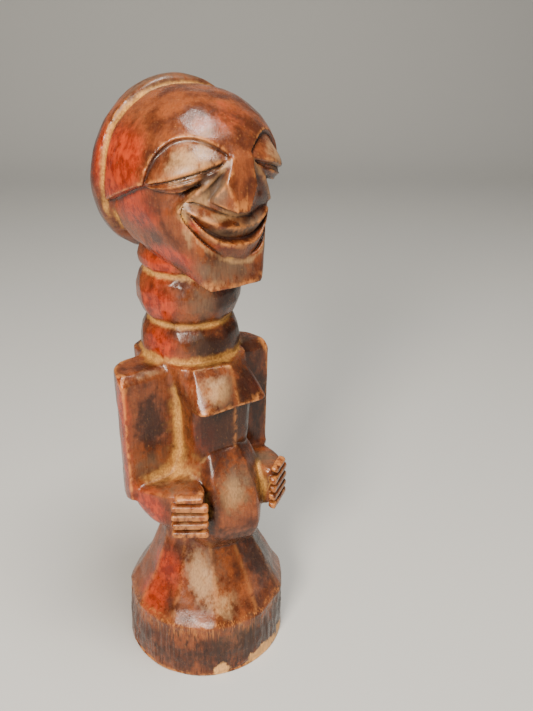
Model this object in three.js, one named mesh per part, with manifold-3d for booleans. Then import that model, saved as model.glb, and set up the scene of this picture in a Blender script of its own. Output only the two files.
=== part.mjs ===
// A small half figure of the power figure kind, carved from one piece of wood: a large head on a
// ringed neck, arms held to a round belly, and a faceted cone for a base. It is one solid.
// Millimetres, +Z up. The figure faces -Y, its right side is at -X, and it stands on z = 0 with the
// middle of the base's underside at the origin.

import * as THREE from 'three';
import { ConvexGeometry } from 'three/addons/geometries/ConvexGeometry.js';
import { LoftGeometry } from 'three/addons/geometries/LoftGeometry.js';
import { mergeVertices } from 'three/addons/utils/BufferGeometryUtils.js';
import Module from 'manifold-3d';

// Heights of the main parts
const RIM_HEIGHT = 19.4;
const CONE_TOP = 50;
const BELLY_BOTTOM = 40;
const HAND_BOTTOM = 55;
const HAND_TOP = 71.5;
const BELLY_TOP = 78;
const CHEST_EDGE = 93.6;
const SHOULDER_TOP = 104.2;
const NECK_FOOT = 105.5;
const CHIN_EDGE = 130.3;
const DOME_MIDDLE = 155;
const DOME_TOP = 178.7;
const HAIR_TOP = 180.8;

// Half widths and depths
const BASE_FOOT_RADIUS = 26.4;
const BASE_RIM_RADIUS = 26.2;
const WAIST_RADIUS = 12.4;
const NECK_MIDDLE = 6.2;
const HEAD_MIDDLE = 5;
const DOME_SIDE = 22.6;
const DOME_FRONT = 27.5;
const DOME_REAR = 24;
const CHIN_HALF = 8.3;
const MOUTH_HALF = 13.2;
const ARM_INNER = 9.4;
const RIGHT_ARM_OUTER = 27.6;
const LEFT_ARM_OUTER = 23;
const ARM_FRONT = -3;
const ARM_REAR = 7.5;
const FINGERTIP_X = 11.4;
const FINGERTIP_Y = -21.4;
const KNUCKLE_X = 20.6;
const KNUCKLE_Y = -15.2;

const SIDES = [-1, 1];
const FULL_TURN = 2 * Math.PI;

const wasm = await Module();
wasm.setup();

// Joining and cutting

function volumeOf(positions, triangles) {
  const a = new THREE.Vector3();
  const b = new THREE.Vector3();
  const c = new THREE.Vector3();
  let volume = 0;
  for (let i = 0; i < triangles.length; i += 3) {
    a.fromArray(positions, 3 * triangles[i]);
    b.fromArray(positions, 3 * triangles[i + 1]);
    c.fromArray(positions, 3 * triangles[i + 2]);
    volume += a.dot(b.cross(c)) / 6;
  }
  return volume;
}

// A closed three.js geometry as a solid: shared points merged, thin caps of poles dropped, and the
// faces turned out if they point in.
function solid(geometry) {
  const bare = new THREE.BufferGeometry().copy(geometry);
  bare.deleteAttribute('normal');
  bare.deleteAttribute('uv');
  const merged = mergeVertices(bare, 1e-4);
  const positions = new Float32Array(merged.getAttribute('position').array);
  const corners = merged.index.array;
  const triangles = [];
  for (let i = 0; i < corners.length; i += 3) {
    const [a, b, c] = [corners[i], corners[i + 1], corners[i + 2]];
    if (a !== b && b !== c && c !== a) triangles.push(a, b, c);
  }
  if (volumeOf(positions, triangles) < 0) triangles.reverse();
  return new wasm.Manifold(new wasm.Mesh({
    numProp: 3,
    vertProperties: positions,
    triVerts: new Uint32Array(triangles),
  }));
}

function joined(solids) {
  return solids.reduce((whole, piece) => whole.add(piece));
}

function geometryOf(manifold) {
  const mesh = manifold.getMesh();
  const geometry = new THREE.BufferGeometry();
  geometry.setAttribute('position', new THREE.BufferAttribute(mesh.vertProperties, 3));
  geometry.setIndex(new THREE.BufferAttribute(mesh.triVerts, 1));
  return geometry;
}

// Basic forms

// The block between flat cuts whose corners are given.
function cutBlock(corners) {
  return solid(new ConvexGeometry(corners.map((corner) => new THREE.Vector3(...corner))));
}

// The same corners on both sides of the middle plane.
function mirrored(corners) {
  return corners.flatMap(([x, y, z]) => (x === 0 ? [[0, y, z]] : [[x, y, z], [-x, y, z]]));
}

function onSide(side, corners) {
  return corners.map(([x, y, z]) => [side * x, y, z]);
}

// A ball stretched to its own reach on each side of its middle. A power above 2 squares it.
function egg({ middle, side, front, rear, up, down, power = 2 }, columns, rows) {
  const geometry = new THREE.SphereGeometry(1, columns, rows);
  const point = geometry.getAttribute('position');
  for (let i = 0; i < point.count; i += 1) {
    const [x, high, forward] = [point.getX(i), point.getY(i), point.getZ(i)];
    const fullness = (Math.abs(x) ** power + Math.abs(high) ** power + Math.abs(forward) ** power)
      ** (-1 / power);
    const depth = (forward > 0 ? front : rear) * fullness;
    const height = (high > 0 ? up : down) * fullness;
    point.setXYZ(i, middle[0] + side * x * fullness, middle[1] - depth * forward,
      middle[2] + height * high);
  }
  return solid(geometry);
}

// One level outline: an ellipse whose power squares its corners, with its own depth before and
// behind the line y = middle.
function outline({ z, half, front, rear, middle = 0, shift = 0, power = 2 }, columns, phase = 0) {
  const points = [];
  for (let i = 0; i < columns; i += 1) {
    const turn = (FULL_TURN * (i + phase)) / columns;
    const [across, along] = [Math.cos(turn), Math.sin(turn)];
    const x = half * Math.sign(across) * Math.abs(across) ** (2 / power);
    const reach = along < 0 ? middle - front : rear - middle;
    const y = middle + reach * Math.sign(along) * Math.abs(along) ** (2 / power);
    points.push(new THREE.Vector3(x + shift, y, z));
  }
  return points;
}

function loft(sections) {
  return solid(new LoftGeometry(sections, { capStart: true, capEnd: true }));
}

// A rounded strip along a path: at(t) gives its middle, its half height and its reach outward along
// the direction out(t); both ends close to a point.
function strip(at, steps, sides) {
  const travel = new THREE.Vector3(...at(1).middle).sub(new THREE.Vector3(...at(0).middle));
  const first = at(0);
  const winding = Math.sign(new THREE.Vector3().crossVectors(first.out, first.up).dot(travel));
  const sections = [];
  for (let i = 0; i <= steps; i += 1) {
    const { middle, out, up, reach, high } = at(i / steps);
    const ring = [];
    for (let j = 0; j < sides; j += 1) {
      const turn = (winding * FULL_TURN * (j + 0.5)) / sides;
      const point = new THREE.Vector3(...middle);
      point.addScaledVector(out, reach * Math.cos(turn));
      point.addScaledVector(up, high * Math.sin(turn));
      ring.push(point);
    }
    sections.push(ring);
  }
  return loft(sections);
}

// A big block that fills the space above or below a plane tilted about the X axis.
function halfSpace(y, z, slope, keep) {
  const size = 200;
  const box = new THREE.BoxGeometry(size, size, size);
  box.translate(0, 0, (keep * size) / 2);
  box.rotateX(Math.atan(slope));
  box.translate(0, y, z);
  return solid(box);
}

// Base: a low round band under a cone with broad knife cuts

// A level outline of the base. Its cuts say how far the circle is flattened into the cone's facets.
function baseRing({ z, radius, cuts, shift = 0, middle = 0 }) {
  const facets = 11;
  const pitch = FULL_TURN / facets;
  const columns = 3 * facets;
  const points = [];
  for (let i = 0; i < columns; i += 1) {
    const turn = (FULL_TURN * i) / columns;
    const beside = (turn % pitch) - pitch / 2;
    const flat = Math.cos(pitch / 2) / Math.cos(beside);
    const reach = radius * (1 + (flat - 1) * cuts);
    const heading = turn + 0.28;
    points.push(new THREE.Vector3(reach * Math.cos(heading) + shift, reach * Math.sin(heading) + middle, z));
  }
  return points;
}

function makeBase() {
  return loft([
    baseRing({ z: 0, radius: BASE_FOOT_RADIUS, cuts: 0 }),
    baseRing({ z: 10, radius: 26.3, cuts: 0 }),
    baseRing({ z: RIM_HEIGHT, radius: BASE_RIM_RADIUS, cuts: 0.6, shift: 0.5 }),
    baseRing({ z: 24, radius: 23.4, cuts: 1, shift: 0.9 }),
    baseRing({ z: 30, radius: 20.2, cuts: 1, shift: 1 }),
    baseRing({ z: 36, radius: 17.3, cuts: 1, shift: 0.8, middle: 0.5 }),
    baseRing({ z: 42, radius: 14.6, cuts: 1, shift: 0.5, middle: 1 }),
    baseRing({ z: CONE_TOP, radius: WAIST_RADIUS, cuts: 1, middle: 1.5 }),
    baseRing({ z: CONE_TOP + 6, radius: WAIST_RADIUS - 2.4, cuts: 1, middle: 2 }),
  ]);
}

// Torso: a column that widens to the shoulders, with wedge breasts over a cut back belly wall

function makeTorso() {
  const middle = 3;
  const body = (z, half, front, rear, power) => outline({ z, half, front, rear, middle, power }, 24);
  const column = loft([
    body(CONE_TOP - 12, 10.4, -8, 12.4, 2.4),
    body(60, 11.5, -9, 13, 3),
    body(BELLY_TOP, 9.4, -12.6, 14, 4.5),
    body(92, 10, -12.8, 16, 4.5),
    body(SHOULDER_TOP + 0.4, 12.5, -9, 17.4, 4),
  ]);
  const back = cutBlock(mirrored([
    [15.4, 7, SHOULDER_TOP + 0.4],
    [15, 15.6, SHOULDER_TOP + 0.4],
    [9.5, 19.2, SHOULDER_TOP + 0.4],
    [4, 21.2, SHOULDER_TOP + 0.4],
    [14.4, 6, 68],
    [13.6, 13, 68],
    [7, 16.2, 68],
    [10, 5, 52],
    [9.4, 10, 52],
    [5, 13, 52],
  ]));
  return joined([column, back, makeChest()]);
}

// Two wedge breasts that hang out over the belly wall. Their level outline grows from the neck's foot
// down to a sharp lower edge, and they meet in a line a little to the figure's left.
function makeChest() {
  const top = [[-9.6, -3], [-9.4, -6], [-7.6, -9.2], [1.6, -13.6], [7.6, -9.2], [9.4, -6], [9.6, -3]];
  const edge = [[-10.4, -3], [-10.6, -16.4], [-8.6, -18.1], [1.6, -17.5], [10.2, -18.2], [12.2, -16.4],
    [10.4, -3]];
  const under = [[-9, -3], [-8.6, -11], [-7.6, -12], [0, -12], [7.6, -12], [8.6, -11], [9, -3]];
  const steps = 3;
  const sections = [];
  for (let i = 0; i <= steps; i += 1) {
    const down = i / steps;
    const z = SHOULDER_TOP + 0.6 + (CHEST_EDGE - SHOULDER_TOP - 0.6) * down;
    sections.push(top.map(([x, y], j) => new THREE.Vector3(
      x + (edge[j][0] - x) * down, y + (edge[j][1] - y) * down, z)));
  }
  sections.push(under.map(([x, y]) => new THREE.Vector3(x, y, CHEST_EDGE - 2.4)));
  return loft(sections.reverse());
}

// Belly: a rounded block between the hands, with a flat ledge on top

function makeBelly() {
  const at = (z, half, front) => outline(
    { z, half, front, rear: 0, middle: -6, shift: 0.6, power: 2.3 }, 20, 0.5);
  return loft([
    at(BELLY_BOTTOM - 1, 6, -10),
    at(BELLY_BOTTOM + 2, 9, -14.5),
    at(46, 11.4, -19),
    at(52, 12.6, -22.4),
    at(59, 12.8, -23.6),
    at(67, 12, -21.8),
    at(73, 10.6, -18),
    at(BELLY_TOP, 8.6, -13.8),
  ]);
}

// Arms: planks down the sides, with the forearms turned forward and the hands laid on the belly

function makeArm(side) {
  const outer = side > 0 ? LEFT_ARM_OUTER : RIGHT_ARM_OUTER;
  const lower = outer - 0.8;
  const handTop = side > 0 ? HAND_TOP - 1.5 : HAND_TOP;
  const upper = cutBlock(onSide(side, [
    [ARM_INNER - 2, ARM_FRONT + 1.4, SHOULDER_TOP],
    [outer - 1, ARM_FRONT + 1.2, SHOULDER_TOP],
    [ARM_INNER - 2, ARM_FRONT, SHOULDER_TOP - 1.6],
    [outer - 0.2, ARM_FRONT, SHOULDER_TOP - 1.8],
    [outer - 0.1, ARM_FRONT + 3.5, SHOULDER_TOP - 1],
    [outer - 2, ARM_REAR - 1.5, SHOULDER_TOP - 0.6],
    [outer - 5.4, ARM_REAR + 1, SHOULDER_TOP],
    [ARM_INNER - 2, ARM_REAR + 2, SHOULDER_TOP],
    [ARM_INNER - 2, ARM_FRONT, 62],
    [lower, ARM_FRONT - 0.2, 63.5],
    [lower, ARM_FRONT + 3.5, 62],
    [lower - 1.6, ARM_REAR - 1.6, 61],
    [lower - 6, ARM_REAR, 58],
    [ARM_INNER - 2, ARM_REAR, 54],
    [ARM_INNER - 2, ARM_FRONT, 54],
  ]));
  const forearm = cutBlock(onSide(side, [
    [lower, ARM_FRONT - 0.1, 68.4],
    [lower, ARM_FRONT + 3, 62.5],
    [lower - 0.8, ARM_FRONT, 59.4],
    [KNUCKLE_X + 1, KNUCKLE_Y + 1.4, handTop - 0.6],
    [KNUCKLE_X, KNUCKLE_Y, handTop - 0.4],
    [KNUCKLE_X + 1, KNUCKLE_Y + 1.4, HAND_BOTTOM + 1.4],
    [KNUCKLE_X, KNUCKLE_Y, HAND_BOTTOM + 0.4],
    [FINGERTIP_X, FINGERTIP_Y + 0.8, handTop],
    [FINGERTIP_X, FINGERTIP_Y + 0.8, HAND_BOTTOM],
    [FINGERTIP_X - 1.6, FINGERTIP_Y + 3, handTop + 0.8],
    [FINGERTIP_X - 1.6, FINGERTIP_Y + 3, HAND_BOTTOM - 1],
    [8, ARM_FRONT, 68],
    [8, ARM_FRONT, 50],
    [outer - 7, ARM_FRONT, 53],
    [18, ARM_REAR - 2, 54],
  ]));
  return joined([upper, forearm, ...makeFingers(side)]);
}

// Five ridges across the front of the hand, from the knuckles to the fingertips.
function makeFingers(side) {
  const count = 5;
  const pitch = 3.05;
  const lowest = HAND_BOTTOM + 1.7;
  const along = new THREE.Vector3(side * (FINGERTIP_X - KNUCKLE_X), FINGERTIP_Y - KNUCKLE_Y, 0);
  const out = new THREE.Vector3(-along.y, along.x, 0).multiplyScalar(side).normalize();
  const up = new THREE.Vector3(0, 0, 1);
  const fingers = [];
  for (let i = 0; i < count; i += 1) {
    const z = lowest + pitch * i;
    const start = i === count - 1 ? 0.16 : 0.06;
    const end = i === count - 1 ? 0.86 : 0.99;
    fingers.push(strip((t) => {
      const place = start + (end - start) * t;
      const round = Math.sqrt(Math.max(0.2, 1 - (2 * t - 1) ** 6));
      return {
        middle: [side * KNUCKLE_X + along.x * place, KNUCKLE_Y + along.y * place, z],
        out,
        up,
        reach: 1.2 * round,
        high: 1.35 * round,
      };
    }, 5, 8));
  }
  return fingers;
}

// Neck: three turned-looking rings with a deep groove between each

function makeNeck() {
  const profile = [
    [0, NECK_FOOT - 2.5],
    [14.6, NECK_FOOT - 2.5],
    [14.7, NECK_FOOT],
    [14.8, 108.2],
    [14.4, 111.4],
    [13.5, 113.8],
    [12.4, 115.4],
    [13.8, 117.4],
    [15, 120.8],
    [15.2, 124.4],
    [14.5, 127.8],
    [13, 130.2],
    [14.2, 132],
    [14.4, 134],
    [13.6, 136.4],
    [12, 139],
    [0, 144],
  ];
  const lathe = new THREE.LatheGeometry(profile.map(([r, z]) => new THREE.Vector2(r, z)), 22);
  lathe.rotateX(Math.PI / 2);
  lathe.translate(0, NECK_MIDDLE, 0);
  return solid(lathe);
}

// Head: a smooth dome over the brow, a raised cap of hair behind it, and a narrower face block

// The plane that the dome ends at: it drops backwards from the inner eye corners to the ears.
const CAP_EDGE = { y: -7.2, z: 157, slope: -0.4 };

function makeDome(shrink) {
  return egg({
    middle: [0, HEAD_MIDDLE, DOME_MIDDLE],
    side: DOME_SIDE - shrink,
    front: DOME_FRONT - shrink,
    rear: DOME_REAR - shrink,
    up: DOME_TOP - DOME_MIDDLE - shrink,
    down: DOME_TOP - DOME_MIDDLE - shrink,
    power: 2.25,
  }, 36, 24);
}

// A roll that starts in a groove across the crown, runs down behind both ears and fills the back of
// the head. Each level of it lies further back than the one above.
function makeHair() {
  const middle = 156;
  const geometry = new THREE.SphereGeometry(1, 40, 24);
  const point = geometry.getAttribute('position');
  for (let i = 0; i < point.count; i += 1) {
    const [x, high, forward] = [point.getX(i), point.getY(i), point.getZ(i)];
    const depth = forward > 0 ? 7 : 18.5;
    const back = HEAD_MIDDLE + 5 + 3 * (1 - high) ** 2;
    point.setXYZ(i, 23.2 * x, back - depth * forward, middle + (HAIR_TOP - middle) * high);
  }
  return solid(geometry);
}

// Eye places: a line that falls from the inner to the outer corner, seen along the outward
// direction at the middle of the eye.
const EYE = {
  middle: [11.9, -15.4, 160.3],
  outward: [0.687, -0.727, 0],
  half: 11.3,
  fall: 0.31,
  rise: 8,
  lowerDrop: 2.9,
};

// The eye's own axes: along the slit towards the ear, up the lid, and outward.
function eyeAxes(side) {
  const outward = new THREE.Vector3(side * EYE.outward[0], EYE.outward[1], 0).normalize();
  const along = new THREE.Vector3(-outward.y * side, outward.x * side, -EYE.fall).normalize();
  const upward = new THREE.Vector3().crossVectors(outward, along).multiplyScalar(side);
  const axes = new THREE.Matrix4().makeBasis(along, upward, outward);
  return axes.setPosition(side * EYE.middle[0], EYE.middle[1], EYE.middle[2]);
}

// An ellipsoid set at the eye, its long axis along the slit.
function eyeEgg(side, half, high, deep) {
  const geometry = new THREE.SphereGeometry(1, 28, 16);
  geometry.scale(half, high, deep);
  return solid(geometry.applyMatrix4(eyeAxes(side)));
}

// Everything above or below the slit.
function besideSlit(side, keep, gap) {
  const size = 40;
  const box = new THREE.BoxGeometry(size, size, size);
  box.translate(0, keep * (size / 2 + gap), 0);
  return solid(box.applyMatrix4(eyeAxes(side)));
}

function makeSocket(side) {
  return eyeEgg(side, EYE.half, EYE.rise, 14).intersect(besideSlit(side, 1, -1));
}

function makeLids(side) {
  const upper = eyeEgg(side, EYE.half - 0.6, EYE.rise - 1.5, 3.1).intersect(besideSlit(side, 1, 0.35));
  const lower = eyeEgg(side, EYE.half - 0.3, EYE.lowerDrop, 2.2).intersect(besideSlit(side, -1, 0.35));
  return upper.add(lower);
}

function makeFace() {
  const face = (z, half, front, rear, power) => outline(
    { z, half, front, rear, middle: HEAD_MIDDLE, power }, 28, 0.5);
  const block = loft([
    face(146.5, 17.8, -16.4, 22, 2.2),
    face(150, 19.6, -17, 24, 2.2),
    face(157, 20, -17.4, 25, 2.2),
    face(163, 19, -18.2, 25, 2.2),
    face(170, 15, -15, 20, 2.2),
  ]);
  const jaw = cutBlock(mirrored([
    [CHIN_HALF, -19.5, CHIN_EDGE],
    [CHIN_HALF - 0.4, -15.4, 140.5],
    [14.4, 11, 138.2],
    [11, 19, 140],
    [17.2, 13, 142],
    [19.6, 12, 148],
    [19.4, 6, 150],
    [18.2, -4, 150],
    [12.8, -12.6, 150],
    [6, -16, 150],
  ]));
  const muzzle = cutBlock(mirrored([
    [2.6, -20.8, 163.6],
    [8.4, -17.6, 155],
    [13.2, -13.4, 150.2],
    [11.4, -13.8, 145],
    [7.8, -15.6, 141],
    [4, -19.4, 151],
    [3.6, -17, 141],
  ]));
  return joined([block, jaw, muzzle]);
}

// A long wedge from the brow to a low tip, with a flat wing on each side. It leans a little, as the
// knife left it.
function makeNose() {
  const lean = 0.22;
  return cutBlock(mirrored([
    [2, -20.4, 167.6],
    [2.4, -21.8, 162.6],
    [4.4, -22.6, 156.6],
    [1.2, -24.2, 151],
    [7, -18.4, 152.4],
    [4.6, -20.2, 151],
    [5.4, -17, 158],
    [5, -15, 151.4],
    [2, -15, 166],
  ]).map(([x, y, z]) => [x + lean * (z - 160.5), y, z]));
}

// Both lips curve back round the face and bow down, and the mouth falls a little towards the left
// cheek. A lip is told by the height of its middle, its bow, how far its ends turn down again, and
// its thickness.
function lip({ low, bow, turnDown, thick, reach }) {
  const up = new THREE.Vector3(0, 0, 1);
  const fall = 0.095;
  return strip((t) => {
    const across = 2 * t - 1;
    const thin = Math.sqrt(Math.max(0.03, 1 - across ** 6));
    const height = low + bow * across ** 2 - turnDown * across ** 8 - fall * MOUTH_HALF * across;
    return {
      middle: [MOUTH_HALF * across, -19.2 + 5.7 * across ** 2, height],
      out: new THREE.Vector3(across * 0.8, -1, 0).normalize(),
      up,
      reach: reach * thin,
      high: (thick / 2) * thin,
    };
  }, 18, 10);
}

function makeHead() {
  const upperDome = makeDome(0).subtract(halfSpace(CAP_EDGE.y, CAP_EDGE.z, CAP_EDGE.slope, -1));
  const inner = makeDome(2);
  const sockets = joined(SIDES.map(makeSocket)).subtract(inner);
  const cap = upperDome.subtract(sockets);
  const upperLip = lip({ low: 147.3, bow: 5.6, turnDown: 4, thick: 5, reach: 2.3 });
  const lowerLip = lip({ low: 141.1, bow: 7.2, turnDown: 0, thick: 3.4, reach: 1.9 });
  return joined([cap, makeHair(), makeFace(), makeNose(), upperLip, lowerLip, ...SIDES.map(makeLids)]);
}

const figure = joined([makeBase(), makeTorso(), makeBelly(), ...SIDES.map(makeArm), makeNeck(), makeHead()]);

const wood = new THREE.MeshStandardMaterial({ color: 0x6e3a22, roughness: 0.45, metalness: 0 });
const mesh = new THREE.Mesh(geometryOf(figure), wood);
mesh.name = 'power_figure';

const group = new THREE.Group();
group.add(mesh);

export default group;
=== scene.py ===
"""A small power figure carved from one piece of wood, stained red-brown, waxed and worn.

The whole figure is one piece. Its skin is worked out with numpy: for each point of a grid, a
formula says how far the point lies outside the carving, and the skin is where that is nought.
Lengths in the formulas are millimetres in the frame of the CAD model: the figure faces -Y, its
right side is at -X, and it stands on z = 0.
"""
import math

import bpy
import numpy as np
from mathutils import Matrix, Vector


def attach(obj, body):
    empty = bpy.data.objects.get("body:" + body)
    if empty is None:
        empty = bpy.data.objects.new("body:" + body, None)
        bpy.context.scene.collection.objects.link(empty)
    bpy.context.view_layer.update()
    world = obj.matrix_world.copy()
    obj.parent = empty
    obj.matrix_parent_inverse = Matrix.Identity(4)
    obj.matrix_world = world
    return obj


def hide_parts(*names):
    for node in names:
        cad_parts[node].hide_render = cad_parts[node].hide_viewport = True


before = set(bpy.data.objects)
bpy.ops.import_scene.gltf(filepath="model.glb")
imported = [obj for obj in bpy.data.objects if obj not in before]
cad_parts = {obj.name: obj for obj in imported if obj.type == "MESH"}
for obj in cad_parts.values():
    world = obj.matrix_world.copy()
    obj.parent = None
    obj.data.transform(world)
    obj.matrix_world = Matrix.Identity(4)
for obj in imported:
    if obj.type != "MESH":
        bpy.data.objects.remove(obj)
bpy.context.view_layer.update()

MM = 0.001
STEP = 0.36
GRID_LOW = np.array([-29.6, -27.6, -1.2])
GRID_HIGH = np.array([28.8, 35.2, 182.8])
FAR = 9.0
TRIANGLES = 190000

# Sizes that the CAD model has too
RIM_HEIGHT = 19.4
CONE_TOP = 50.0
BELLY_BOTTOM = 40.0
HAND_BOTTOM = 55.0
HAND_TOP = 71.5
BELLY_TOP = 78.0
CHEST_EDGE = 93.6
SHOULDER_TOP = 104.2
NECK_FOOT = 105.5
NECK_MIDDLE = 6.2
CHIN_EDGE = 130.3
CHIN_HALF = 8.3
HEAD_MIDDLE = 5.0
DOME_MIDDLE = 155.0
DOME_TOP = 178.7
DOME_SIDE = 22.6
DOME_FRONT = 27.5
DOME_REAR = 24.0
HAIR_MIDDLE = 156.0
HAIR_TOP = 180.8
HAIR_SIDE = 23.2
MOUTH_HALF = 13.2
ARM_INNER = 9.4
ARM_FRONT = -3.0
ARM_REAR = 7.5
ARM_OUTER = {-1: 27.6, 1: 23.0}
FINGERTIP = (11.4, -21.4)
KNUCKLE = (20.6, -15.2)
CAP_EDGE_Y, CAP_EDGE_Z, CAP_EDGE_SLOPE = -7.2, 157.0, -0.4


# Ways to measure and join forms


def blend(a, b, width):
    """The union of two forms with a fillet about as wide as width in their corner."""
    share = np.clip(0.5 + 0.5 * (b - a) / width, 0, 1)
    return b + (a - b) * share - width * share * (1 - share)


def cut(a, b, width):
    """Form a where it is outside form b, its new edge softened over width."""
    return -blend(-a, b, width)


def both(a, b, width):
    """What lies in both forms, its new edge softened over width."""
    return -blend(-a, -b, width)


def smooth(value, low, high):
    """0 below low, 1 above high, and an S curve between."""
    share = np.clip((value - low) / (high - low), 0, 1)
    return share * share * (3 - 2 * share)


def bump(value, middle, width):
    """A bell curve of height 1."""
    return np.exp(-((value - middle) / width) ** 2)


class Carving:
    """A grid over the figure. Each form is measured only in its own window of the grid."""

    def __init__(self):
        self.axes = [np.arange(low, high, STEP, dtype=np.float32) for low, high in zip(GRID_LOW, GRID_HIGH)]
        self.field = np.full([len(axis) for axis in self.axes], FAR, np.float32)

    def window(self, low, high, margin=3.0):
        """The slices of the grid between two corners, and the x, y and z of their points."""
        parts = []
        for axis, lowest, highest in zip(self.axes, low, high):
            first, last = np.searchsorted(axis, [lowest - margin, highest + margin])
            parts.append(slice(max(first - 1, 0), last + 1))
        x, y, z = (axis[part] for axis, part in zip(self.axes, parts))
        return tuple(parts), x[:, None, None], y[None, :, None], z[None, None, :]

    def add(self, form, low, high, width):
        """Joins a form, a function of x, y and z, to the carving. The fillet's width may be one too."""
        parts, x, y, z = self.window(low, high)
        if callable(width):
            width = width(x, y, z)
        self.field[parts] = blend(self.field[parts], form(x, y, z), width)

    def carve(self, form, low, high, width):
        """Takes a form away from the carving."""
        parts, x, y, z = self.window(low, high)
        self.field[parts] = cut(self.field[parts], form(x, y, z), width)

    def swell(self, change, low, high):
        """Adds change(x, y, z) to the distance: a groove where it is above nought."""
        parts, x, y, z = self.window(low, high, 0.0)
        self.field[parts] += change(x, y, z)


def dome(x, y, z, shrink=0.0):
    """The dome of the head: a squared ball with its own reach before and behind its middle."""
    power = 2.25
    forward = y - HEAD_MIDDLE
    depth = np.where(forward < 0, DOME_FRONT - shrink, DOME_REAR - shrink)
    side = DOME_SIDE - shrink
    high = DOME_TOP - DOME_MIDDLE - shrink
    total = np.abs(x / side) ** power + np.abs(forward / depth) ** power
    total = total + np.abs((z - DOME_MIDDLE) / high) ** power
    scale = (total + 1e-9) ** (1 / power)
    radius = np.sqrt(x * x + forward * forward + (z - DOME_MIDDLE) ** 2)
    return radius * (1 - 1 / scale)


def hair(x, y, z):
    """The roll behind the dome: a ball whose level slices lie further back lower down."""
    high = np.clip((z - HAIR_MIDDLE) / (HAIR_TOP - HAIR_MIDDLE), -1, 1)
    back = HEAD_MIDDLE + 5 + 3 * (1 - high) ** 2
    forward = y - back
    depth = np.where(forward < 0, 7.0, 18.5)
    scale = np.sqrt((x / HAIR_SIDE) ** 2 + (forward / depth) ** 2
                    + ((z - HAIR_MIDDLE) / (HAIR_TOP - HAIR_MIDDLE)) ** 2 + 1e-9)
    radius = np.sqrt(x * x + forward * forward + (z - HAIR_MIDDLE) ** 2)
    return radius * (1 - 1 / scale) * np.where(forward < 0, 0.55, 1.0)


def hair_groove(x, y, z):
    """How deep the crease between the dome and the roll is: a bell round where their skins meet."""
    apart = np.abs(dome(x, y, z) - hair(x, y, z))
    return 0.75 * bump(apart, 0, 0.8) * bump(hair(x, y, z), 0, 1.6) * smooth(z, 146, 150)


def hull_planes(corners):
    """The flat faces of the block whose corners are given: every three corners whose plane has all the
    others on one side. Each face is its outward direction and its distance from the origin."""
    corners = np.asarray(corners, float)
    count = len(corners)
    a, b, c = np.array([(i, j, k) for i in range(count) for j in range(i) for k in range(j)]).T
    normal = np.cross(corners[b] - corners[a], corners[c] - corners[a])
    length = np.linalg.norm(normal, axis=1)
    kept = length > 1e-6
    normal = normal[kept] / length[kept, None]
    away = np.einsum("ij,ij->i", normal, corners[a[kept]])
    beyond = normal @ corners.T - away[:, None]
    outward = (beyond < 1e-5).all(axis=1)
    inward = (beyond > -1e-5).all(axis=1)
    faces = np.concatenate([np.c_[normal, away][outward], -np.c_[normal, away][inward]])
    same = np.abs(faces[:, None] - faces).max(axis=2) < 1e-4
    return faces[~np.tril(same, -1).any(axis=1)]


def block(corners, width=0.5):
    """The block between flat cuts, its edges softened over width."""
    faces = hull_planes(corners)

    def form(x, y, z):
        result = None
        for nx, ny, nz, away in faces:
            beyond = nx * x + ny * y + nz * z - away
            result = beyond if result is None else both(result, beyond, width)
        return result.astype(np.float32)

    return form


def corners_on(side, corners):
    return [(side * x, y, z) for x, y, z in corners]


def both_sides(corners):
    return corners_on(1, corners) + corners_on(-1, corners)


def stack(levels, middle, shift=0.0):
    """A form told by level outlines: at each height a squared ellipse with its half width, its front, its
    rear and its power. The distance is measured along the ray from the outline's middle."""
    heights, half, front, rear, power = (np.array(column, float) for column in zip(*levels))

    def form(x, y, z):
        width = np.interp(z, heights, half)
        depth = np.where(y < middle, middle - np.interp(z, heights, front),
                         np.interp(z, heights, rear) - middle)
        squared = np.interp(z, heights, power)
        u = np.abs((x - shift) / width) + 1e-6
        v = np.abs((y - middle) / depth) + 1e-6
        scale = (u ** squared + v ** squared) ** (1 / squared)
        radius = np.sqrt((x - shift) ** 2 + (y - middle) ** 2)
        beyond = np.maximum(z - heights[-1], heights[0] - z)
        return both(0.9 * radius * (1 - 1 / scale), beyond, 0.6).astype(np.float32)

    return form


# Base


CONE_PITCH = 2 * math.pi / 11


def cone_place(x, y, z):
    """A point's place across and along from the cone's middle, which wanders a little with the height, and
    its angle from the middle of the nearest of eleven facets."""
    across = x - np.interp(z, [RIM_HEIGHT - 9, RIM_HEIGHT, 30, 42, CONE_TOP], [0, 0.5, 1, 0.5, 0])
    along = y - np.interp(z, [30, CONE_TOP + 6], [0, 2])
    turn = np.arctan2(along, across) - 0.28
    return across, along, np.mod(turn, CONE_PITCH) - CONE_PITCH / 2


def base(x, y, z):
    """The base: a round band under a cone. The radius follows the height, and is flattened between
    eleven corners as far as cuts says."""
    heights = [0, 10, RIM_HEIGHT, 24, 30, 36, 42, CONE_TOP, CONE_TOP + 6]
    radius = np.interp(z, heights, [26.4, 26.3, 26.2, 23.4, 20.2, 17.3, 14.6, 12.4, 10.0])
    cuts = np.interp(z, heights, [0, 0, 0.6, 1, 1, 1, 1, 1, 1])
    across, along, beside = cone_place(x, y, z)
    flat = np.minimum(math.cos(CONE_PITCH / 2) / np.cos(beside), 1 - 0.03 * CONE_PITCH ** 2)
    reach = radius * (1 + (flat - 1) * cuts)
    distance = np.sqrt(across ** 2 + along ** 2) - reach
    slope = np.interp(z, [0, RIM_HEIGHT - 1, RIM_HEIGHT, CONE_TOP], [1, 1, 0.86, 0.9])
    ends = np.maximum(-z, z - CONE_TOP - 6)
    return both(distance * slope, ends, 0.5)


# Torso, chest and belly

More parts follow.
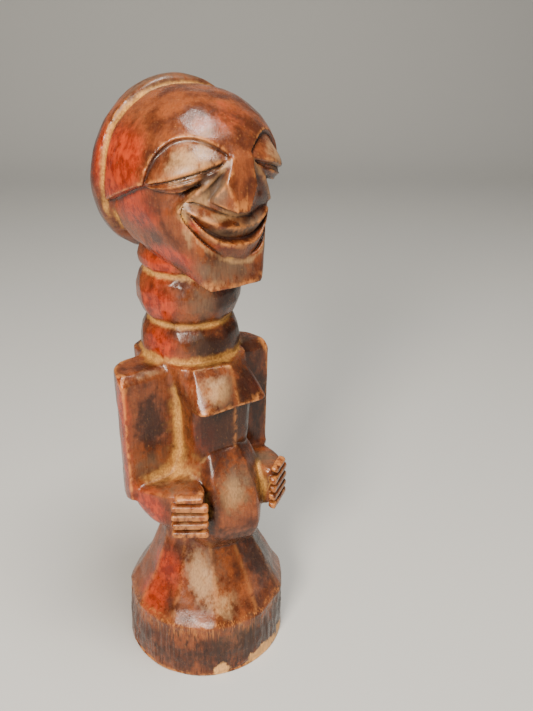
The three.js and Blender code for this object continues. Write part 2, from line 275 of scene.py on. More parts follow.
TORSO = stack([
    (CONE_TOP - 12, 10.4, -8, 12.4, 2.4),
    (60, 11.5, -9, 13, 3),
    (BELLY_TOP, 9.4, -12.6, 14, 8),
    (92, 10.2, -12.8, 16, 9),
    (SHOULDER_TOP + 0.4, 12.5, -9, 17.4, 4),
], middle=3)

BACK = block(both_sides([
    (15.4, 7, SHOULDER_TOP + 0.4),
    (15, 15.6, SHOULDER_TOP + 0.4),
    (9.5, 19.2, SHOULDER_TOP + 0.4),
    (4, 21.2, SHOULDER_TOP + 0.4),
    (14.4, 6, 68),
    (13.6, 13, 68),
    (7, 16.2, 68),
    (10, 5, 52),
    (9.4, 10, 52),
    (5, 13, 52),
]), 1.2)

def belly(x, y, z):
    """The belly is a bulging form whose level slices are flattened into six faces. Its half width and its
    reach to the front fall off above and below the navel as rounded powers of the height."""
    navel, above, below = 57.0, 26.0, 19.5
    share = np.clip(np.where(z > navel, (z - navel) / above, (navel - z) / below), 0, 0.999)
    width = 12.8 * (1 - share ** 2.3) ** 0.45
    depth = 17.6 * (1 - share ** 2) ** 0.8
    across, along = x - 0.6, y + 6
    total = 0.0
    for bearing, reach in ((-118, 1.0), (-64, 0.96), (-14, 0.95), (42, 1.0), (90, 1.02), (180, 0.6)):
        turn = math.radians(bearing)
        toward = across / width * math.sin(turn) - along / depth * math.cos(turn)
        total = total + np.clip(toward / reach, 0, 12) ** 24
    scale = (total + 1e-18) ** (1 / 24)
    radius = np.sqrt(across ** 2 + along ** 2) + 0 * z
    ends = np.maximum(BELLY_BOTTOM - 1 - z, z - BELLY_TOP)
    return both(0.85 * radius * (1 - 1 / scale), ends, 0.6)


def abdomen_ridge(x, y, z):
    """Between the breasts and the belly the front is a low roof with its ridge left of the middle."""
    rise = np.clip(1 - np.abs(x - 3) / 8, 0, 1)
    return -1.1 * rise * smooth(z, 75, 80) * smooth(-z, -95, -92) * smooth(-y, 9, 11)


RIGHT_BREAST = block([
    (-9.8, -3, 104.4), (-9.6, -6, 104.6), (-8.4, -9.6, 104.8), (1.6, -13.4, 105.2), (1.6, -3, 104.8),
    (-9.8, -3, CHEST_EDGE), (-10.6, -16.4, CHEST_EDGE), (-8.6, -18.1, CHEST_EDGE),
    (1.6, -17.5, CHEST_EDGE), (1.6, -3, 91.2), (-9, -3, 91.2), (-8.6, -11, 91.2), (0, -12, 91.2),
], 0.35)

LEFT_BREAST = block([
    (9.6, -3, 104.8), (9.4, -6, 104.8), (7.6, -9.2, 104.8), (1.6, -13.6, 104.8), (1.6, -3, 104.8),
    (10.4, -3, CHEST_EDGE), (12.2, -16.4, CHEST_EDGE), (10.2, -18.2, CHEST_EDGE),
    (1.6, -17.5, CHEST_EDGE), (1.6, -3, 91.2), (9, -3, 91.2), (8.6, -11, 91.2), (0, -12, 91.2),
], 0.35)


# Arms and hands


def upper_arm(side):
    outer = ARM_OUTER[side]
    lower = outer - 0.8
    return block(corners_on(side, [
        (ARM_INNER - 2, ARM_FRONT + 2, SHOULDER_TOP),
        (outer - 1.4, ARM_FRONT + 2.2, SHOULDER_TOP - 0.2),
        (ARM_INNER - 2, ARM_FRONT, SHOULDER_TOP - 2.2),
        (outer - 0.4, ARM_FRONT, SHOULDER_TOP - 2.8),
        (outer - 0.1, ARM_FRONT + 3.5, SHOULDER_TOP - 1.4),
        (outer - 2, ARM_REAR - 1.5, SHOULDER_TOP - 0.6),
        (outer - 5.4, ARM_REAR + 1, SHOULDER_TOP),
        (ARM_INNER - 2, ARM_REAR + 2, SHOULDER_TOP),
        (ARM_INNER - 2, ARM_FRONT, 62),
        (lower, ARM_FRONT - 0.2, 63.5),
        (lower, ARM_FRONT + 3.5, 62),
        (lower - 1.6, ARM_REAR - 1.6, 61),
        (lower - 6, ARM_REAR, 58),
        (ARM_INNER - 2, ARM_REAR, 54),
        (ARM_INNER - 2, ARM_FRONT, 54),
    ]), 0.7)


def forearm(side):
    outer = ARM_OUTER[side]
    lower = outer - 0.8
    hand_top = HAND_TOP - 1.5 if side > 0 else HAND_TOP
    knuckle_x, knuckle_y = KNUCKLE
    tip_x, tip_y = FINGERTIP
    return block(corners_on(side, [
        (lower, ARM_FRONT - 0.1, 68.4),
        (lower, ARM_FRONT + 3, 62.5),
        (lower - 0.8, ARM_FRONT, 59.4),
        (knuckle_x + 1, knuckle_y + 1.4, hand_top - 0.8),
        (knuckle_x, knuckle_y, hand_top - 0.6),
        (knuckle_x + 1, knuckle_y + 1.4, HAND_BOTTOM + 1.4),
        (knuckle_x, knuckle_y, HAND_BOTTOM + 0.4),
        (tip_x, tip_y + 0.8, hand_top),
        (tip_x, tip_y + 0.8, HAND_BOTTOM),
        (tip_x - 1.6, tip_y + 3, hand_top + 0.8),
        (tip_x - 1.6, tip_y + 3, HAND_BOTTOM - 1),
        (8, ARM_FRONT, 68),
        (8, ARM_FRONT, 50),
        (outer - 7, ARM_FRONT, 53),
        (18, ARM_REAR - 2, 54),
    ]), 3.0)


def elbow_fillet(x, y, z):
    """Wide in the crook of the elbow, narrow lower down and at the hand."""
    return 0.5 + 2.6 * smooth(z, 64, 68) * smooth(y, -15, -9)


def fingers(side):
    """Five ridges laid side by side from the knuckles to the fingertips. Across each one the height
    follows a squared half circle, so its top is broad and its sides are steep."""
    count = 5
    pitch = 3.05
    knuckle = np.array(KNUCKLE) * (side, 1)
    tip = np.array(FINGERTIP) * (side, 1)
    length = np.linalg.norm(tip - knuckle)
    along = (tip - knuckle) / length
    out = np.array([-along[1], along[0]]) * side

    def form(x, y, z):
        run = (x - knuckle[0]) * along[0] + (y - knuckle[1]) * along[1]
        proud = (x - knuckle[0]) * out[0] + (y - knuckle[1]) * out[1]
        result = None
        for i in range(count):
            first = 0.16 if i == count - 1 else 0.04
            last = 0.86 if i == count - 1 else 1.0
            height = HAND_BOTTOM + 1.75 + pitch * i + 0.25 * math.sin(1.7 * i) * (run / length - 0.5)
            end = np.abs(run / length - (first + last) / 2) - (last - first) / 2
            end = np.maximum(end * length + 1.0, 0)
            u = np.abs(z - height + 0.25 * proud) / (0.75 if i == count - 1 else 1.02)
            v = np.abs(proud) / 1.15
            w = end / 1.1
            radius = (u ** 3.6 + v ** 3.6 + w ** 3.6 + 1e-6) ** (1 / 3.6)
            ridge = (radius - 1) * 0.9
            result = ridge if result is None else np.minimum(result, ridge)
        return result

    return form


# Neck


def neck(x, y, z):
    """Three rings and the grooves between them: the radius follows a profile of the height, and twelve
    broad knife cuts flatten it."""
    heights = [103, 105.5, 108.2, 111.4, 113.8, 115.1, 115.7, 117.4, 120.8, 124.4, 127.8, 129.9, 130.5,
               132, 134, 136.4, 139, 144]
    radii = [14.6, 14.7, 14.8, 14.4, 13.4, 12.3, 12.3, 13.8, 15.1, 15.3, 14.5, 13.0, 13.0,
             14.2, 14.4, 13.6, 12, 2]
    across, along = x, y - NECK_MIDDLE
    radius = np.sqrt(across ** 2 + along ** 2)
    pitch = 2 * math.pi / 12
    turn = np.arctan2(along, across) + 0.03 * z
    flat = np.cos(pitch / 2) / np.cos(np.mod(turn, pitch) - pitch / 2)
    reach = np.interp(z, heights, radii) * (1 + (flat - 1) * 0.55)
    ends = np.maximum(heights[0] - z, z - heights[-1])
    return np.maximum((radius - reach) * 0.85, ends)


# Head


def cap_edge(y, z):
    """How far a point is below the plane that the dome ends at."""
    scale = 1 / math.sqrt(1 + CAP_EDGE_SLOPE ** 2)
    return (CAP_EDGE_Z + CAP_EDGE_SLOPE * (y - CAP_EDGE_Y) - z) * scale


class Eye:
    """The eye's own axes: along the slit towards the ear, up the lid, and outward. Its lids follow the
    dome, and lie as deep under it as their place between the slit and the rim says."""

    HALF = 11.3
    RISE = 8.5
    LOWER = 3.1
    FALL = 0.31

    def __init__(self, side):
        self.middle = np.array([11.9 * side, -15.4, 160.3])
        out = np.array([0.687 * side, -0.727, 0.0])
        self.out = out / np.linalg.norm(out)
        along = np.array([-self.out[1] * side, self.out[0] * side, -self.FALL])
        self.along = along / np.linalg.norm(along)
        self.up = np.cross(self.out, self.along) * side

    def place(self, x, y, z):
        """A point's run along the slit, its height above it and its distance outward."""
        offset = x - self.middle[0], y - self.middle[1], z - self.middle[2]
        return tuple(axis[0] * offset[0] + axis[1] * offset[1] + axis[2] * offset[2]
                     for axis in (self.along, self.up, self.out))

    def bounds(self):
        return self.middle - (13, 13, 12), self.middle + (13, 13, 12)

    def opening(self, x, y, z, margin=0.0):
        """A leaf round the slit: above it the height follows 1 less the squared run, to the power 0.8, and
        below it the same in small. It reaches 9 mm into the head."""
        run, rise, out = self.place(x, y, z)
        narrow = np.maximum(1 - (run / (self.HALF + margin)) ** 2, 0.0) ** 0.8
        high = np.where(rise > 0, self.RISE + margin, self.LOWER + margin)
        beyond = np.abs(rise) - high * narrow
        slant = 1.6 * high * np.abs(run) / self.HALF ** 2
        beside = np.maximum(beyond / np.sqrt(1 + slant ** 2), np.abs(run) - self.HALF - margin)
        return np.maximum(beside, -9 - out)

    def fillet(self, x, y, z):
        """Wide in the valley under the rim, narrow at the slit and below it."""
        return 0.2 + 1.0 * smooth(self.place(x, y, z)[1], 0.8, 2.6)

    def socket(self, x, y, z):
        rise = self.place(x, y, z)[1]
        return both(np.maximum(self.opening(x, y, z), -rise - 1), -dome(x, y, z, 2.2), 0.8)

    def lids(self, x, y, z):
        """The upper lid is sunk under the rim and swells towards the slit. Below the slit lie a narrow
        ridge, a second groove, and the lower lid, which falls back to its edge."""
        run, rise, _ = self.place(x, y, z)
        narrow = np.maximum(1 - (run / self.HALF) ** 2, 0.03) ** 0.8
        up = rise / (narrow * self.RISE)
        down = -rise / (narrow * self.LOWER)
        proud = -0.35 + 1.0 * (run / self.HALF) ** 2
        upper = proud + (1.15 - proud) * smooth(up, 0.12, 0.85)
        lower = 0.4 + 1.5 * smooth(down, 0.35, 1.05) + 0.7 * bump(down, 0.32, 0.13)
        depth = lower + (upper - lower) * smooth(rise, -0.25, 0.3) + 1.0 * bump(rise, -0.05, 0.36)
        return both(dome(x, y, z, depth), self.opening(x, y, z, 0.4), 0.25)


FACE = stack([
    (149, 16.0, -13.6, 22, 2.2),
    (152, 18.8, -16.4, 24, 2.2),
    (157, 20, -17.4, 25, 2.2),
    (163, 19, -18.2, 25, 2.2),
    (170, 15, -15, 20, 2.2),
], middle=HEAD_MIDDLE)

JAW = block(both_sides([
    (CHIN_HALF, -19.5, CHIN_EDGE),
    (CHIN_HALF - 0.4, -15.4, 140.5),
    (14.4, 11, 138.2),
    (11, 19, 140),
    (17.2, 13, 142),
    (19.6, 12, 148),
    (19.4, 5, 150.4),
    (18.3, -4, 150.4),
    (12.9, -12.6, 150.4),
    (20, 14, 157),
    (20, 4, 157.6),
    (19, -4, 157.6),
    (16.4, -9.6, 157.6),
    (12, -13.9, 157.6),
    (6, -16.5, 157.6),
    (6, -16, 150),
]), 0.9)

MUZZLE = block(both_sides([
    (2.6, -20.9, 163.8),
    (8.3, -18.6, 158.2),
    (10.8, -16.5, 155.2),
    (13.5, -13.9, 151.4),
    (12.6, -13.2, 146),
    (8.6, -15, 161),
    (12.4, -12.4, 155),
    (7.8, -15.6, 141),
    (4, -19.4, 151),
    (3.6, -17, 141),
]), 0.25)

NOSE = block([
    (-1.4, -15.8, 171.5), (2.6, -15.8, 171.5),
    (-2.5, -21.7, 164.2), (2.9, -21.7, 164.0),
    (-5.0, -22.2, 158.6), (4.2, -22.2, 157.4),
    (-0.7, -23.0, 157.6), (-3.0, -24.3, 151.6), (0.5, -24.3, 151.5),
    (-5.2, -18, 158), (4.6, -18, 157), (-2.4, -17, 167), (3.2, -17, 167),
    (-4.4, -19, 152.4), (1.8, -19, 151.8),
], 0.3)

RIGHT_WING = block([
    (-4.8, -21.6, 158.2), (-7.6, -19, 153.9), (-3.2, -23.5, 151.8),
    (-7, -16, 153.9), (-4.6, -16, 159), (-3, -16, 152),
], 0.3)

LEFT_WING = block([
    (3.9, -21.6, 157.2), (5.8, -19, 152.4), (0.6, -23.5, 151.5),
    (5.2, -16, 152.4), (3.6, -16, 158), (-1.6, -16, 151.5),
], 0.3)


FOLD = [(2.6, -20.6, 163.8), (8.3, -18.4, 158.2), (10.8, -16.3, 155.2), (13.5, -13.7, 151.4)]


def chain(places):
    """A form that measures the distance from a line through places."""
    places = np.array(places, float)

    def form(x, y, z):
        nearest = FAR
        for start, end in zip(places, places[1:]):
            line = end - start
            offset = x - start[0], y - start[1], z - start[2]
            share = sum(value * part for value, part in zip(offset, line)) / (line @ line)
            share = np.clip(share, 0, 1)
            square = sum((value - share * part) ** 2 for value, part in zip(offset, line))
            nearest = np.minimum(nearest, np.sqrt(square))
        return nearest

    return form


def fold(side):
    """A low ridge from the eye's inner corner to the mouth's corner."""
    away = chain(corners_on(side, FOLD))
    return lambda x, y, z: away(x, y, z) - 0.6


def face_hollows(x, y, z):
    """How much the face is hollowed on each side of the fold that runs from the eye's inner corner to the
    mouth's corner: bells round the line beside the nose and round the line in the cheek."""
    away = np.abs(x)
    share = (163.4 - z) / 9.8
    nose_side = 0.55 * bump(away, 4.6 + 3.2 * share, 1.2) * smooth(z, 153, 155) * smooth(-z, -164.5, -162)
    cheek = 0.8 * bump(away, 6.6 + 6.6 * share, 1.4) * smooth(z, 149, 153.5) * smooth(-z, -163, -160.5)
    return nose_side + cheek * smooth(-y, 8, 11)


class Mouth:
    """Two lips in a sunk lens. Five lines run from corner to corner, each with its height in the middle,
    its rise towards the corners, the power of that rise, its fall from right to left, its depth behind
    the face and how much deeper it lies at the right corner. The skin is flat from line to line."""

    LINES = [
        (149.4, 2.8, 1.3, 0.16, 0.5, 0.0),
        (147.1, 2.4, 2.4, 0.07, -2.2, 0.0),
        (143.7, 4.1, 2.6, 0.10, 0.4, 0.0),
        (142.7, 4.2, 3.2, 0.09, -1.8, 0.0),
        (138.7, 4.2, 2.2, 0.18, 0.2, 2.6),
    ]
    CORNER = 149.0
    FRONT, BACK = -19.2, 5.7

    def lines(self, x):
        across = np.clip(np.abs(x) / MOUTH_HALF, 0, 1)
        open_share = np.sqrt(np.maximum(1 - across ** 8, 0))
        face = self.FRONT + self.BACK * across ** 2
        for middle, bow, power, fall, depth, deeper in self.LINES:
            height = middle + bow * (np.abs(x) / 10) ** power
            height = self.CORNER + (height - self.CORNER) * open_share - fall * x
            sunk = np.where(x < 0, deeper, 0.3 * deeper) * across ** 2
            yield height, face + (depth + sunk) * open_share

    def measure(self, x, y, z):
        """How far a point is in front of the lips' skin, and how far outside the lens."""
        lines = list(self.lines(x))
        front = lines[0][1] + 0 * z
        steep = 1.0 + 0 * z
        for (top, top_depth), (low, low_depth) in zip(lines, lines[1:]):
            height = np.maximum(top - low, 0.05)
            share = np.clip((top - z) / height, 0, 1)
            slope = (low_depth - top_depth) / height
            here = z < top
            front = np.where(here, top_depth + (low_depth - top_depth) * share, front)
            steep = np.where(here, 1 / np.sqrt(1 + slope ** 2), steep)
        outside = np.maximum(z - lines[0][0], lines[-1][0] - z) * 0.85
        return (front - y) * steep, np.maximum(outside, np.abs(x) - MOUTH_HALF)

    def room(self, x, y, z):
        ahead, outside = self.measure(x, y, z)
        return np.maximum(-ahead, outside)

    def lips(self, x, y, z):
        ahead, outside = self.measure(x, y, z)
        return np.maximum(np.maximum(ahead, outside), y + 9)


def build_carving():
    carving = Carving()
    carving.add(FACE, (-20, -20, 149), (20, 31, 170), 0.6)
    carving.add(JAW, (-21, -20, 130), (21, 20, 158), 0.5)
    carving.add(MUZZLE, (-14, -22, 140), (14, -10, 164), 0.5)
    eyes = [Eye(-1), Eye(1)]

    def cap(x, y, z):
        form = both(dome(x, y, z), cap_edge(y, z), 0.5)
        for eye in eyes:
            form = cut(form, eye.socket(x, y, z), 0.7)
        return form

    carving.add(cap, (-23, -23, 140), (23, 29, 179), 0.4)
    carving.add(hair, (-24, -2, 131), (24, 33, 181), 0.7)
    carving.swell(hair_groove, (-26, -6, 143), (26, 24, 183))
    for eye in eyes:
        low, high = eye.bounds()
        carving.add(eye.lids, low, high, eye.fillet)
    carving.swell(face_hollows, (-16, -24, 148), (16, -6, 165))
    for side in (-1, 1):
        low_x, high_x = sorted((side * 2.6, side * 13.5))
        carving.add(fold(side), (low_x, -21, 151), (high_x, -13, 164), 1.0)
    carving.add(neck, (-16, -10, 103), (16, 22, 144), 0.3)
    carving.add(base, (-27, -27, 0), (27, 27, 56), 0.3)
    carving.add(TORSO, (-13, -13, 38), (13, 18, 105), 0.8)
    carving.swell(abdomen_ridge, (-9, -18, 74), (12, -8, 96))
    carving.add(BACK, (-16, 5, 52), (16, 22, 105), 1.0)
    carving.add(belly, (-13, -24, 39), (14, 0, 78), 0.6)
    carving.add(RIGHT_BREAST, (-11, -19, 91), (2, -3, 105), 0.5)
    carving.add(LEFT_BREAST, (1, -19, 91), (13, -3, 105), 0.5)
    for side in (-1, 1):
        low_x, high_x = sorted((side * 7.4, side * ARM_OUTER[side]))
        carving.add(upper_arm(side), (low_x, -4, 54), (high_x, 10, 105), 1.8)
        carving.add(forearm(side), (low_x, -22, 50), (high_x, 6, 73), elbow_fillet)
        carving.add(fingers(side), (low_x, -23, 54), (high_x, -12, 73), 0.15)
    mouth = Mouth()
    carving.carve(mouth.room, (-14, -26, 135), (14, -9, 156), 0.25)
    carving.add(mouth.lips, (-14, -23, 136), (14, -9, 156), 0.2)
    carving.add(NOSE, (-8, -25, 151), (7, -15, 168), 0.7)
    carving.add(RIGHT_WING, (-8, -24, 151), (-2, -15, 160), 0.2)
    carving.add(LEFT_WING, (-2, -24, 151), (6, -15, 159), 0.2)
    return carving


# From the grid to a skin


def sample(values, points):
    """The grid's values at points between its own, blended along all three axes."""
    place = (points - [axis[0] for axis in CARVING.axes]) / STEP
    place = np.clip(place, 0, np.array(values.shape) - 1.001)
    corner = place.astype(np.int32)
    share = (place - corner).astype(np.float32)
    result = np.zeros(len(points), np.float32)
    for di in (0, 1):
        wi = share[:, 0] if di else 1 - share[:, 0]
        for dj in (0, 1):
            wj = share[:, 1] if dj else 1 - share[:, 1]
            for dk in (0, 1):
                wk = share[:, 2] if dk else 1 - share[:, 2]
                result += wi * wj * wk * values[corner[:, 0] + di, corner[:, 1] + dj, corner[:, 2] + dk]
    return result


def slope_at(points):
    """The direction in which the distance grows fastest: straight out of the skin."""
    rise = np.stack([sample(CARVING.field, points + np.eye(3)[i] * STEP)
                     - sample(CARVING.field, points - np.eye(3)[i] * STEP) for i in range(3)], axis=1)
    steep = np.linalg.norm(rise, axis=1, keepdims=True) + 1e-6
    return rise / steep, steep[:, 0] / (2 * STEP)


def skin_of(field):
    """One point in each grid cell that the skin passes through, at the mean of its crossings of the
    cell's edges, and one square for each grid edge that it crosses."""
    inside = field < 0
    near = [inside[i:len(inside) - 1 + i, j:inside.shape[1] - 1 + j, k:inside.shape[2] - 1 + k]
            for i in (0, 1) for j in (0, 1) for k in (0, 1)]
    count = sum(part.astype(np.int8) for part in near)
    cells = np.argwhere((count > 0) & (count < 8))
    index = np.full(count.shape, -1, np.int32)
    index[tuple(cells.T)] = np.arange(len(cells))
    total = np.zeros((len(cells), 3))
    crossings = np.zeros(len(cells))
    for axis in range(3):
        step = np.eye(3, dtype=int)[axis]
        others = [other for other in range(3) if other != axis]
        for a in (0, 1):
            for b in (0, 1):
                start = np.zeros(3, int)
                start[others[0]], start[others[1]] = a, b
                first = field[tuple((cells + start).T)]
                second = field[tuple((cells + start + step).T)]
                crossed = (first < 0) != (second < 0)
                share = np.where(crossed, first / np.where(crossed, first - second, 1), 0)
                total += np.where(crossed[:, None], start + step * share[:, None], 0)
                crossings += crossed
    points = (cells + total / crossings[:, None]) * STEP + [axis[0] for axis in CARVING.axes]
    squares = []
    for axis in range(3):
        step = np.eye(3, dtype=int)[axis]
        one, two = np.roll(np.eye(3, dtype=int), -axis, axis=0)[1:]
        last = [slice(None, size - 1 if i == axis else None) for i, size in enumerate(inside.shape)]
        change = inside[tuple(last)] != np.roll(inside, -1, axis=axis)[tuple(last)]
        edges = np.argwhere(change)
        ring = [edges - one - two, edges - two, edges, edges - one]
        square = np.stack([index[tuple(cell.T)] for cell in ring], axis=1)
        leaving = inside[tuple(edges.T)]
        square[~leaving] = square[~leaving][:, ::-1]
        squares.append(square)
    return points, np.concatenate(squares)


def relax(points, squares, rounds):
    """Evens the points out: each moves to its neighbours' mean, then back to where the distance is
    nought."""
    one = squares.ravel()
    two = np.roll(squares, -1, axis=1).ravel()
    count = np.bincount(np.r_[one, two], minlength=len(points))[:, None]
    for _ in range(rounds):
        mean = np.stack([np.bincount(np.r_[one, two], np.r_[points[two, i], points[one, i]],
                                     minlength=len(points)) for i in range(3)], axis=1) / count
        points = points + 0.5 * (mean - points)
        out, steep = slope_at(points)
        move = sample(CARVING.field, points) / np.maximum(steep, 0.4)
        points = points - out * np.clip(move, -0.2, 0.2)[:, None]
    return points


# Noise, and the marks of the knife


def noise(points, size, seed):
    """Smooth noise from -1 to 1: random values on a lattice with the given spacing, blended between
    its corners."""
    table = np.random.default_rng(seed).uniform(-1, 1, (32, 32, 32)).astype(np.float32)
    place = points / np.asarray(size, float)
    corner = np.floor(place).astype(np.int64)
    share = place - corner
    share = share * share * (3 - 2 * share)
    result = np.zeros(len(points))
    for di in (0, 1):
        for dj in (0, 1):
            for dk in (0, 1):
                weight = np.prod(np.where([di, dj, dk], share, 1 - share), axis=1)
                i, j, k = ((corner + (di, dj, dk)) % 32).T
                result += weight * table[i, j, k]
    return result


def knife_cuts(points, out, spacing, seed):
    """How deep the broad flat cuts of the knife go. Each cut is a plane just under a point of the skin and
    tilted a little from it. It takes off less towards its edge, and at every point the deepest of the cuts
    close by counts."""
    rng = np.random.default_rng(seed)
    order = rng.permutation(len(points))
    cell = np.floor((points[order] + rng.uniform(0, spacing, 3)) / spacing).astype(int)
    _, first = np.unique(cell, axis=0, return_index=True)
    chosen = order[first]
    middles = points[chosen]
    facing = out[chosen] + rng.uniform(-0.05, 0.05, (len(chosen), 3))
    facing = facing / np.linalg.norm(facing, axis=1, keepdims=True)
    offset = rng.uniform(0.3, 1, len(chosen)) * 0.034 * spacing
    away = np.einsum("ij,ij->i", middles, facing) - offset
    stretch = 0.8 * spacing
    reach = 1.15 * spacing
    far_points = np.c_[points, stretch * out].astype(np.float32)
    far_cuts = np.c_[middles, stretch * out[chosen]].astype(np.float32)
    length_cuts = (far_cuts ** 2).sum(axis=1)
    deepest = np.zeros(len(points))
    chunk = 20000
    for start in range(0, len(points), chunk):
        part = slice(start, start + chunk)
        here = far_points[part]
        square = (here ** 2).sum(axis=1)[:, None] + length_cuts - 2 * here @ far_cuts.T
        beyond = (points[part] @ facing.T - away).astype(np.float32)
        most = offset * np.clip(1.7 - 1.7 * square / reach ** 2, 0, 1)
        deepest[part] = np.minimum(beyond, most).max(axis=1)
    return np.maximum(deepest, 0)


def cut_surface(points, out):
    """Moves the skin in by the knife's broad cuts, its fine strokes and the rough marks on the band."""
    x, y, z = points.T
    head = smooth(z, 138, 142)
    hands = smooth(-y, 11, 14) * smooth(z, 52, 55) * smooth(-z, -75, -72) * smooth(np.abs(x), 10, 12)
    mouth = smooth(-y, 11, 13) * smooth(z, 137, 139) * smooth(-z, -171, -168)
    underside = smooth(-z, -1.2, -0.2)
    calm = (1 - hands) * (1 - 0.9 * mouth) * (1 - underside)
    broad = knife_cuts(points, out, 5.5, 11) * (1 - head) + knife_cuts(points, out, 8.5, 12) * head
    broad = broad * calm
    ripple = 0.05 * noise(points, (2.2, 2.2, 3.4), 3) * (1 - mouth) * (1 - underside)
    band = smooth(z, 0.6, 2.5) * smooth(-z, -RIM_HEIGHT + 0.2, -RIM_HEIGHT + 2)
    round_turn = np.arctan2(y, x) * 26.0
    strokes = np.c_[round_turn, np.zeros_like(z), z + 0.15 * round_turn]
    rough = np.abs(noise(strokes, (1.3, 1, 8.0), 5)) + 0.5 * np.abs(noise(strokes, (0.8, 1, 5.0), 6))
    foot = bump(z, 0.0, 1.6) * smooth(noise(np.c_[round_turn, z * 0, z], (5.0, 1, 4.0), 8), 0.0, 0.7)
    depth = broad + ripple + 0.42 * rough * band + 0.7 * foot * (1 - smooth(-z, -0.5, -0.05))
    return points - out * depth[:, None]


def blurred(radius, rounds=2):
    """How much wood lies around each grid point: 0 in the open, 1 deep inside, and above a half on
    the skin only where it is hollow."""
    full = np.clip(0.5 - CARVING.field / STEP, 0, 1)
    reach = int(round(radius / STEP))
    for _ in range(rounds):
        for axis in range(3):
            total = np.cumsum(full, axis=axis, dtype=np.float32)
            index = np.arange(full.shape[axis])
            ahead = np.take(total, np.minimum(index + reach, index[-1]), axis)
            behind = np.take(total, np.maximum(index - reach - 1, 0), axis)
            full = (ahead - behind) / (2 * reach + 1)
    return full


def fill_mesh(mesh, points, faces):
    """Puts points, in metres, and faces with the same number of corners into a mesh."""
    sides = faces.shape[1]
    mesh.vertices.add(len(points))
    mesh.loops.add(faces.size)
    mesh.polygons.add(len(faces))
    mesh.vertices.foreach_set("co", np.ascontiguousarray(points, np.float32).ravel())
    mesh.loops.foreach_set("vertex_index", np.ascontiguousarray(faces, np.int32).ravel())
    mesh.polygons.foreach_set("loop_start", np.arange(0, faces.size, sides, dtype=np.int32))
    mesh.update(calc_edges=True)
    mesh.validate()


def thinned(mesh, triangles):
    """The same skin with fewer triangles, which go where the form turns."""
    holder = bpy.data.objects.new("holder", mesh)
    bpy.context.collection.objects.link(holder)
    mesh.calc_loop_triangles()
    fewer = holder.modifiers.new("fewer", "DECIMATE")
    fewer.ratio = min(1.0, triangles / len(mesh.loop_triangles))
    fewer.use_collapse_triangulate = True
    seen = holder.evaluated_get(bpy.context.evaluated_depsgraph_get())
    result = bpy.data.meshes.new_from_object(seen)
    bpy.data.objects.remove(holder)
    bpy.data.meshes.remove(mesh)
    return result


def vertex_places(mesh):
    places = np.empty(3 * len(mesh.vertices), np.float32)
    mesh.vertices.foreach_get("co", places)
    return places.reshape(-1, 3).astype(float)


def give(mesh, name, values):
    layer = mesh.attributes.new(name, "FLOAT", "POINT")
    layer.data.foreach_set("value", np.clip(values, 0, 1).astype(np.float32))


CARVING = build_carving()
skin_points, skin_squares = skin_of(CARVING.field)
skin_points = relax(skin_points, skin_squares, 3)
skin_points = cut_surface(skin_points, slope_at(skin_points)[0])
skin_points[:, 2] = np.maximum(skin_points[:, 2], 0)
rough_mesh = bpy.data.meshes.new("power_figure_skin")
fill_mesh(rough_mesh, skin_points * MM, skin_squares)
figure_mesh = thinned(rough_mesh, TRIANGLES)
figure_mesh.name = "carved_figure"
figure_mesh.polygons.foreach_set("use_smooth", np.ones(len(figure_mesh.polygons), bool))


